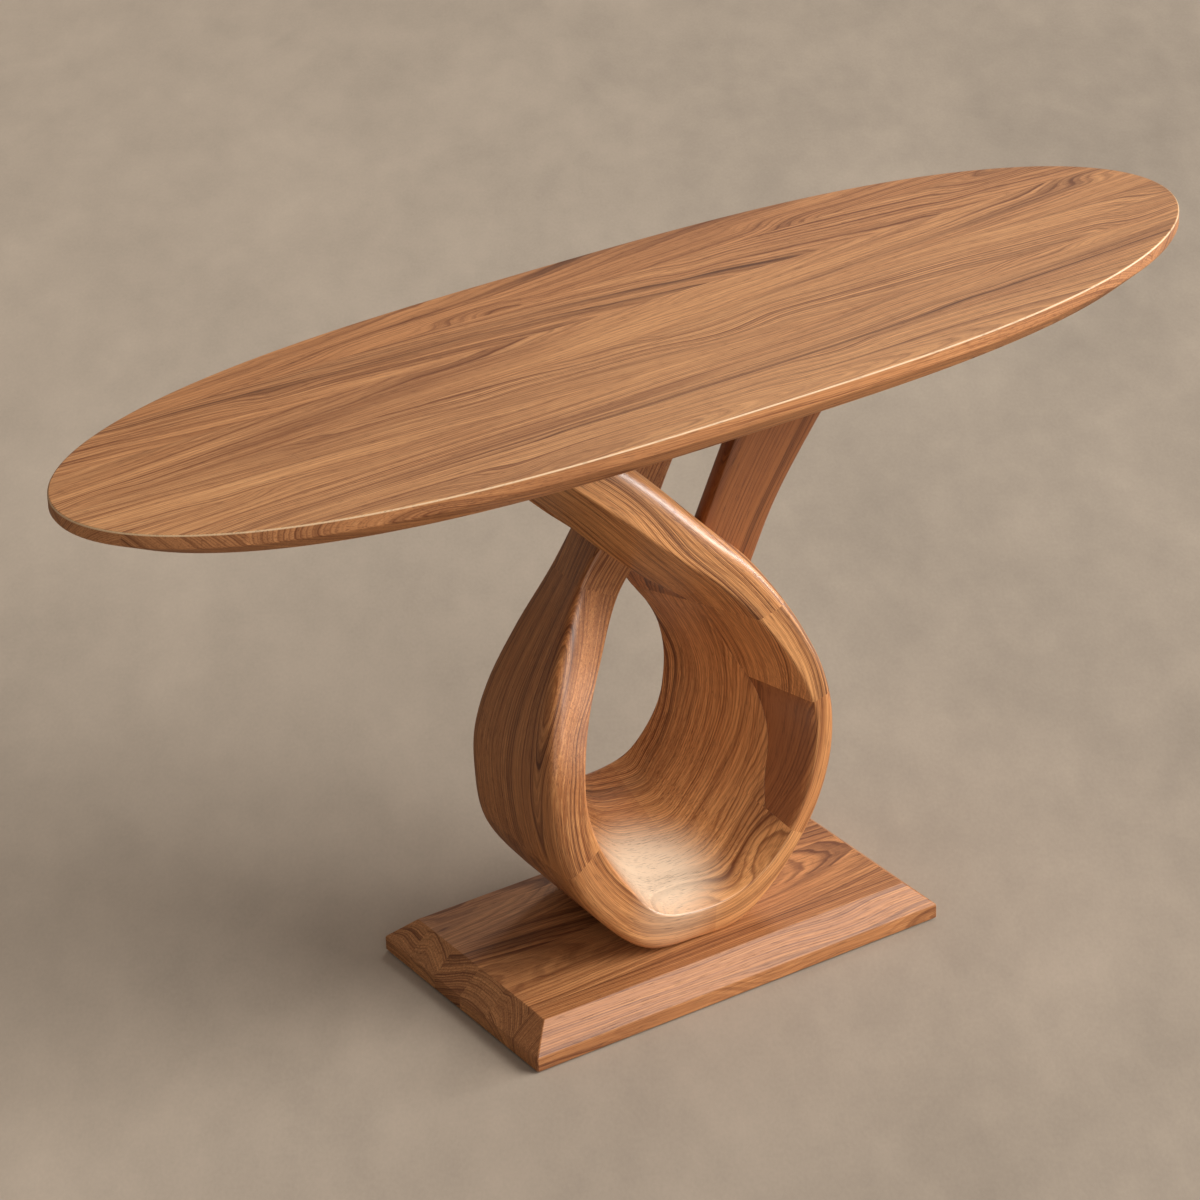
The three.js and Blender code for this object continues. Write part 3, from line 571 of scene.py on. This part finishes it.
backLeftArmShares = [
    [[-0.22, 0.08, 0.66, 0.04], [0, 0.08, 0.75, 0.05], [0, 0.66, 0.75, 0.06], [-0.2, 0.66, 0.66, 0.04]],
    [[-0.42, 0.08, 0.725, 0.04], [-0.16, 0.08, 0.81, 0.05], [-0.14, 0.66, 0.81, 0.06],
     [-0.4, 0.66, 0.725, 0.04]],
    [[-0.66, 0.08, 0.79, 0.04], [-0.32, 0.08, 0.87, 0.05], [-0.3, 0.68, 0.87, 0.06],
     [-0.62, 0.68, 0.79, 0.04]],
    [[-0.98, 0.08, 0.885, 0.04], [-0.62, 0.08, 0.955, 0.05], [-0.6, 0.7, 0.955, 0.06],
     [-0.94, 0.7, 0.885, 0.04]],
    [[-1.38, 0.08, 1.01, 0.04], [-1.0, 0.08, 1.05, 0.05], [-0.98, 0.72, 1.05, 0.06],
     [-1.34, 0.74, 1.01, 0.04]],
]
glueShares = [-0.9, -0.8, -0.49, -0.4, -0.24, -0.06, -0.06, -0.06, -0.06]
limbSet = {
    "halfWidth": 0.2, "halfDepth": 0.104, "low": 0.0465, "high": 0.726,
    "landing": 0.7265, "highlightMiddle": Vector((-0.04, -0.045, 0.118)), "highlightReach": 0.1,
    "litFrontDepth": 0.1, "litFrontTone": 0.1, "litFrontLevel": 0.5,    # the flat front painted paler: painted light on the front that faces the lamps
    "ringStep": 0.004, "cornerSteps": 6, "faceStep": 0.01, "sideShare": 0.45,
    "leadSteps": 60, "reachSteps": 20, "headingStep": 0.002, "fewestRings": 8,
}


def catmull(points, at):    # centripetal spline through the points, read at a share of their run
    last = len(points) - 1
    place = min(max(at, 0), 1) * last
    i = min(int(place), last - 1)
    t = place - i
    p1, p2 = points[i], points[i + 1]
    p0 = points[i - 1] if i > 0 else p1 * 2 - p2
    p3 = points[i + 2] if i + 2 <= last else p2 * 2 - p1
    d0 = max((p1 - p0).length_squared ** 0.25, 1e-6)
    d1 = max((p2 - p1).length_squared ** 0.25, 1e-6)
    d2 = max((p3 - p2).length_squared ** 0.25, 1e-6)
    m1 = ((p1 - p0) / d0 - (p2 - p0) / (d0 + d1) + (p2 - p1) / d1) * d1
    m2 = ((p2 - p1) / d1 - (p3 - p1) / (d1 + d2) + (p3 - p2) / d2) * d1
    return (p1 * (2 * t ** 3 - 3 * t * t + 1) + p2 * (3 * t * t - 2 * t ** 3)
            + m1 * (t ** 3 - 2 * t * t + t) + m2 * (t ** 3 - t * t))


def limbCorners(look, shares):
    return [[Vector((corner[0] * look["halfWidth"], corner[1] * look["halfDepth"],
                     look["low"] + corner[2] * (look["high"] - look["low"])))
             for corner in track] for track in zip(*shares)]


def softnessAt(look, shares, corner, at):
    place = at * (len(shares) - 1)
    i = min(int(place), len(shares) - 2)
    low, high = shares[i][corner][3], shares[i + 1][corner][3]
    return (low + (high - low) * (place - i)) * look["halfDepth"]


def sectionRing(look, corners, softness, counts):
    ring = []
    size = len(corners)
    ends = []
    for i, p in enumerate(corners):
        ends.append([p + side.normalized() * min(softness[i], side.length * look["sideShare"])
                     for side in (corners[i - 1] - p, corners[(i + 1) % size] - p)])
    for i, p in enumerate(corners):
        start, end = ends[i]
        for step in range(look["cornerSteps"] + 1):
            t = step / look["cornerSteps"]
            ring.append(start * (1 - t) ** 2 + p * (2 * t * (1 - t)) + end * t * t)
        following = ends[(i + 1) % size][0]
        for step in range(1, counts[i]):
            ring.append(end.lerp(following, step / counts[i]))
    return ring


def pathMiddle(guideTracks, at):
    corners = [catmull(track, at) for track in guideTracks]
    return sum(corners, Vector()) / len(corners)


def makeLimb(look, shares, first, last, name, tone, offset, cuts=(), guide=None, shift=0):
    litFrontTone = max(look["litFrontTone"], look["litFrontLevel"] - tone)
    run = len(shares) - 1
    tracks = limbCorners(look, shares)
    guideTracks = limbCorners(look, guide or shares)
    guideRun = len(guide or shares) - 1

    def cornersAt(at):
        return [catmull(track, at) for track in tracks]
    start, stop = first / run, last / run
    reachSteps = look["reachSteps"]
    reach = sum((catmull(tracks[0], start + (stop - start) * (i + 1) / reachSteps)
                 - catmull(tracks[0], start + (stop - start) * i / reachSteps)).length
                for i in range(reachSteps))
    steps = max(look["fewestRings"], round(reach / look["ringStep"]))
    middleCorners = cornersAt((start + stop) / 2)
    counts = [max(2, round((middleCorners[(i + 1) % len(tracks)] - p).length / look["faceStep"]))
              for i, p in enumerate(middleCorners)]
    rings, grain = [], []
    previous = pathMiddle(guideTracks, 0)
    travelled = 0
    lead = look["leadSteps"]    # the grain runs on from the guide's start
    for step in range(1, lead + 1):
        middle = pathMiddle(guideTracks, (first + shift) / guideRun * step / lead)
        travelled += (middle - previous).length
        previous = middle
    for step in range(steps + 1):
        at = start + (stop - start) * step / steps
        corners = cornersAt(at)
        guideAt = (at * run + shift) / guideRun
        middle = pathMiddle(guideTracks, guideAt)
        ahead, behind = min(guideAt + look["headingStep"], 1), max(guideAt - look["headingStep"], 0)
        heading = pathMiddle(guideTracks, ahead) - pathMiddle(guideTracks, behind)
        heading.y = 0
        heading.normalize()
        inward = Vector((-heading.z, 0, heading.x))
        travelled += (middle - previous).length
        previous = middle
        softness = [softnessAt(look, shares, i, at) for i in range(len(tracks))]
        ring = sectionRing(look, corners, softness, counts)
        rings.append(ring)
        grain += [Vector((travelled + offset[0] + (p - middle).dot(heading), p.y + offset[1],
                          (p - middle).dot(inward) + offset[2])) for p in ring]
    points = [p for ring in rings for p in ring]
    faces = ringFaces(len(rings), len(rings[0]))

    # the flat front is painted paler: painted light
    def toneAt(p):
        return tone + litFrontTone if p.y < -look["litFrontDepth"] else tone
    piece = meshFrom(name + "_wood", points, faces, grain, toneAt, walnut["pedestal"],
                     [name])
    work = bmesh.new()
    work.from_mesh(piece.data)
    bmesh.ops.recalc_face_normals(work, faces=work.faces)
    cutAway(work, cuts)
    work.to_mesh(piece.data)
    work.free()
    piece.data.shade_smooth()
    piece.data.set_sharp_from_angle(angle=sharpAngle)
    # a painted highlight on the bowl's floor, strongest at its middle and fading with distance
    paint(piece.data, "paintedHighlight", [max(0, 1 - (v.co - look["highlightMiddle"]).length / look["highlightReach"])
                              for v in piece.data.vertices])
    return piece


landing = ((0, 0, limbSet["landing"]), (0, 0, 1))
floorCut = ((0, 0, limbSet["low"]), (0, 0, -1))
loopShares = leftBandShares[::-1] + rightBandShares
strandFirst = len(loopShares) - len(glueShares)


def onGlueLine(start, end, y):
    share = (y - start[1]) / (end[1] - start[1])
    return (start[0] + (end[0] - start[0]) * share, y, start[2] + (end[2] - start[2]) * share, 0.01)


def splitAtGlue(station, y, front):
    frontInner, frontOuter, backOuter, lip, crease = station
    outer, inner = onGlueLine(frontOuter, backOuter, y), onGlueLine(frontInner, crease, y)
    return (frontInner, frontOuter, outer, inner) if front else (inner, outer, backOuter, lip, crease)


strands = [[splitAtGlue(station, y, front) for station, y in zip(loopShares[strandFirst:], glueShares)]
           for front in (True, False)]
limbs = [
    # name, shares, first station, last station, tone, grain offset, cuts, guide, guide's shift
    ("left_side_upper", loopShares, 1, 3.5, 0.3, (0.2, 0.06, 0.01), (), None, 0),
    ("left_side_lower", loopShares, 3.5, 6, 0.3, (0.2, 0.06, 0.01), (), None, 0),
    ("foot", loopShares, 6, 9.4, 0.45, (4.1, 0.0, -0.02), (floorCut,), None, 0),
    ("right_side_lower", loopShares, 9.4, 11.55, 0.8, (4.1, 0.0, -0.02), (), None, 0),
    ("right_front_lower", strands[0], 11.55 - strandFirst, 14.4 - strandFirst, -0.5, (20.3, 0.16, 0.02), (),
     loopShares, strandFirst),
    ("right_front_upper", strands[0], 14.4 - strandFirst, 17 - strandFirst, 0.85, (8.3, 0.14, 0.02), (),
     loopShares, strandFirst),
    ("right_side_upper", strands[1], 11.55 - strandFirst, 17 - strandFirst, 0.8, (4.1, 0.0, -0.02), (),
     loopShares, strandFirst),
    ("front_left_arm", frontLeftArmShares, 1, 6, 0.85, (10.2, 0.14, 0.0), (landing,), None, 0),
    ("right_shoulder", rightShoulderShares, 1, 3, 0.3, (12.4, 0.0, 0.01), (), None, 0),
    ("back_right_arm", backRightArmShares, 1, 5, 0.4, (14.1, -0.06, 0.0), (landing,), None, 0),
    # the front right arm's low tone is painted shade from the top over it
    ("front_right_arm", frontRightArmShares, 0, 3, -0.6, (16.5, 0.13, 0.03), (landing,), None, 0),
    ("back_left_arm", backLeftArmShares, 0, 4, 0.35, (18.2, 0.0, 0.02), (landing,), None, 0),
]
for name, shares, first, last, tone, offset, cuts, guide, shift in limbs:
    makeLimb(limbSet, shares, first, last, name, tone, offset, cuts, guide, shift)
print("pedestal made")


# Steel, brass and felt
def makeMetal(name, body, wearAndHighlight, roughness):
    material, wire = newMaterial(name)
    place = wire.make("ShaderNodeTexCoord", {}, {}, "Object")
    brushed = place.noise((60, 1400, 60), 2.0, 0.6)
    cloud = place.noise((35, 35, 35), 3.0, 0.55)
    base = cloud.between(0.35, 0.7).mixed(body, wearAndHighlight)
    bump = wire.make("ShaderNodeBump", {}, {"Strength": 0.1, "Distance": 0.0002, "Height": brushed})
    shader = wire.make("ShaderNodeBsdfPrincipled", {}, {
        "Base Color": base, "Metallic": 1.0, "Roughness": roughness + brushed * 0.14, "Normal": bump})
    finishMaterial(wire, shader)
    return material


def makeFelt(name, body, lint):
    material, wire = newMaterial(name)
    place = wire.make("ShaderNodeTexCoord", {}, {}, "Object")
    fuzz = place.noise((2600, 2600, 2600), 3.0, 0.7)
    base = fuzz.between(0.45, 0.75).mixed(body, lint)
    bump = wire.make("ShaderNodeBump", {}, {"Strength": 0.5, "Distance": 0.0004, "Height": fuzz})
    shader = wire.make("ShaderNodeBsdfPrincipled", {}, {
        "Base Color": base, "Roughness": 0.95, "Normal": bump, "Sheen Weight": 0.3})
    finishMaterial(wire, shader)
    return material


finishes = {
    "steel": makeMetal("steel", colour(176, 178, 180), colour(140, 142, 146), 0.3),
    "brass": makeMetal("brass", colour(196, 162, 92), colour(160, 128, 70), 0.28),
    "felt": makeFelt("felt", colour(44, 42, 40), colour(74, 71, 68)),
}
for row in frame["record"]["subparts"]:
    finish = finishes.get(row["material_slot"])
    if finish:
        piece = nodes[row["node"]]
        piece.data.materials.clear()
        piece.data.materials.append(finish)
print("fittings dressed")


# Studio
stageSet = {
    "floorSize": 26.0,
    "floorDark": (0.285, 0.242, 0.2, 1),
    "floorPale": (0.58, 0.49, 0.402, 1),
    "awayStretch": 0.46, "paintedLightLean": 0.23,
    "floorMirrored": (0.16, 0.12, 0.09, 1),
    "wallRise": 6.0,
    "wallPlace": 8.0,
    "bend": 2.0,
    "bendSteps": 12,
}


def makeStage(look):
    material, wire = newMaterial("studio")
    place = wire.make("ShaderNodeTexCoord", {}, {}, "Object")
    turn = math.radians(cameraSet["yaw"])
    sideways = place.axis(0) * math.cos(turn) - place.axis(1) * math.sin(turn)
    away = place.axis(0) * math.sin(turn) + place.axis(1) * math.cos(turn)
    spread = wire.make("ShaderNodeCombineXYZ", {}, {
        0: sideways, 1: away * look["awayStretch"], 2: place.axis(2)})
    cloud = spread.noise((3.2, 3.2, 3.2), 5.0, 0.62, 0.4)
    mottle = spread.noise((14, 14, 14), 4.0, 0.6)
    grit = spread.noise((240, 240, 240), 2.0, 0.6)
    shade = (cloud - 0.5) * 0.62 + (mottle - 0.5) * 0.45 + (grit - 0.5) * 0.22 + 0.5
    # the floor is painted paler towards the left: painted light where the table's shadow falls
    base = (shade - sideways * look["paintedLightLean"]).clamped().mixed(look["floorDark"], look["floorPale"])
    glossy = wire.make("ShaderNodeLightPath", {}, {}, "Is Glossy Ray")
    base = glossy.mixed(base, look["floorMirrored"])
    bump = wire.make("ShaderNodeBump", {}, {"Strength": 0.05, "Distance": 0.001, "Height": grit})
    shader = wire.make("ShaderNodeBsdfPrincipled", {}, {
        "Base Color": base, "Roughness": 0.9, "Normal": bump})
    finishMaterial(wire, shader)
    half, back, bend = look["floorSize"] / 2, look["wallPlace"], look["bend"]
    profile = [(-half, 0.0), (back, 0.0)]
    for step in range(1, look["bendSteps"] + 1):
        turn = math.pi / 2 * step / look["bendSteps"]
        profile.append((back + bend * math.sin(turn), bend * (1 - math.cos(turn))))
    profile.append((back + bend, look["wallRise"]))
    points, faces = [], []
    for i, (y, z) in enumerate(profile):
        points += [Vector((-half, y, z)), Vector((half, y, z))]
        if i:
            faces.append((2 * i - 2, 2 * i - 1, 2 * i + 1, 2 * i))
    turn = Matrix.Rotation(math.radians(-cameraSet["yaw"]), 4, "Z")
    mesh = bpy.data.meshes.new("studio")
    mesh.from_pydata([tuple(turn @ p) for p in points], [], faces)
    mesh.materials.append(material)
    mesh.shade_smooth()
    stage = bpy.data.objects.new("studio", mesh)
    scene.collection.objects.link(stage)


lampSet = {
    # name: place, aim, size, power, colour
    "key": ((7.2, -6.6, 6.6), (0.1, 0, 0.4), 9.0, 1590, (1, 0.95, 0.88)),
    "rear": ((3.6, 3.4, 5.2), (0, 0, 0.5), 1.8, 55, (1, 0.96, 0.9)),
    "window": ((6.3, -1.4, 1.05), (0.0, 0, 0.55), 2.0, 215, (1, 0.97, 0.93)),
    "fill": ((-2.2, -8.0, 3.6), (0, 0, 0.4), 4.0, 90, (1, 0.95, 0.88)),
}


def makeLamps(look):
    for name, (place, aim, size, power, tint) in look.items():
        data = bpy.data.lights.new(name, "AREA")
        data.shape = "SQUARE"
        data.size = size
        data.energy = power
        data.color = tint
        lamp = bpy.data.objects.new(name, data)
        lamp.location = place
        lamp.rotation_euler = (Vector(aim) - Vector(place)).to_track_quat("-Z", "Y").to_euler()
        scene.collection.objects.link(lamp)


worldSet = {"colour": (0.8, 0.72, 0.63, 1), "strength": 0.27, "mirrored": 0.1}


def makeWorld(look):
    world = bpy.data.worlds.new("world")
    world.use_nodes = True
    world.node_tree.nodes.clear()
    wire = Wire(world.node_tree)
    glossy = wire.make("ShaderNodeLightPath", {}, {}, "Is Glossy Ray")
    light, mirrored = (
        wire.make("ShaderNodeBackground", {}, {"Color": look["colour"], "Strength": strength})
        for strength in (look["strength"], look["mirrored"]))
    surface = wire.make("ShaderNodeMixShader", {}, {0: glossy, 1: light, 2: mirrored})
    wire.make("ShaderNodeOutputWorld", {}, {"Surface": surface})
    scene.world = world


makeStage(stageSet)
makeLamps(lampSet)
makeWorld(worldSet)
print("studio made")
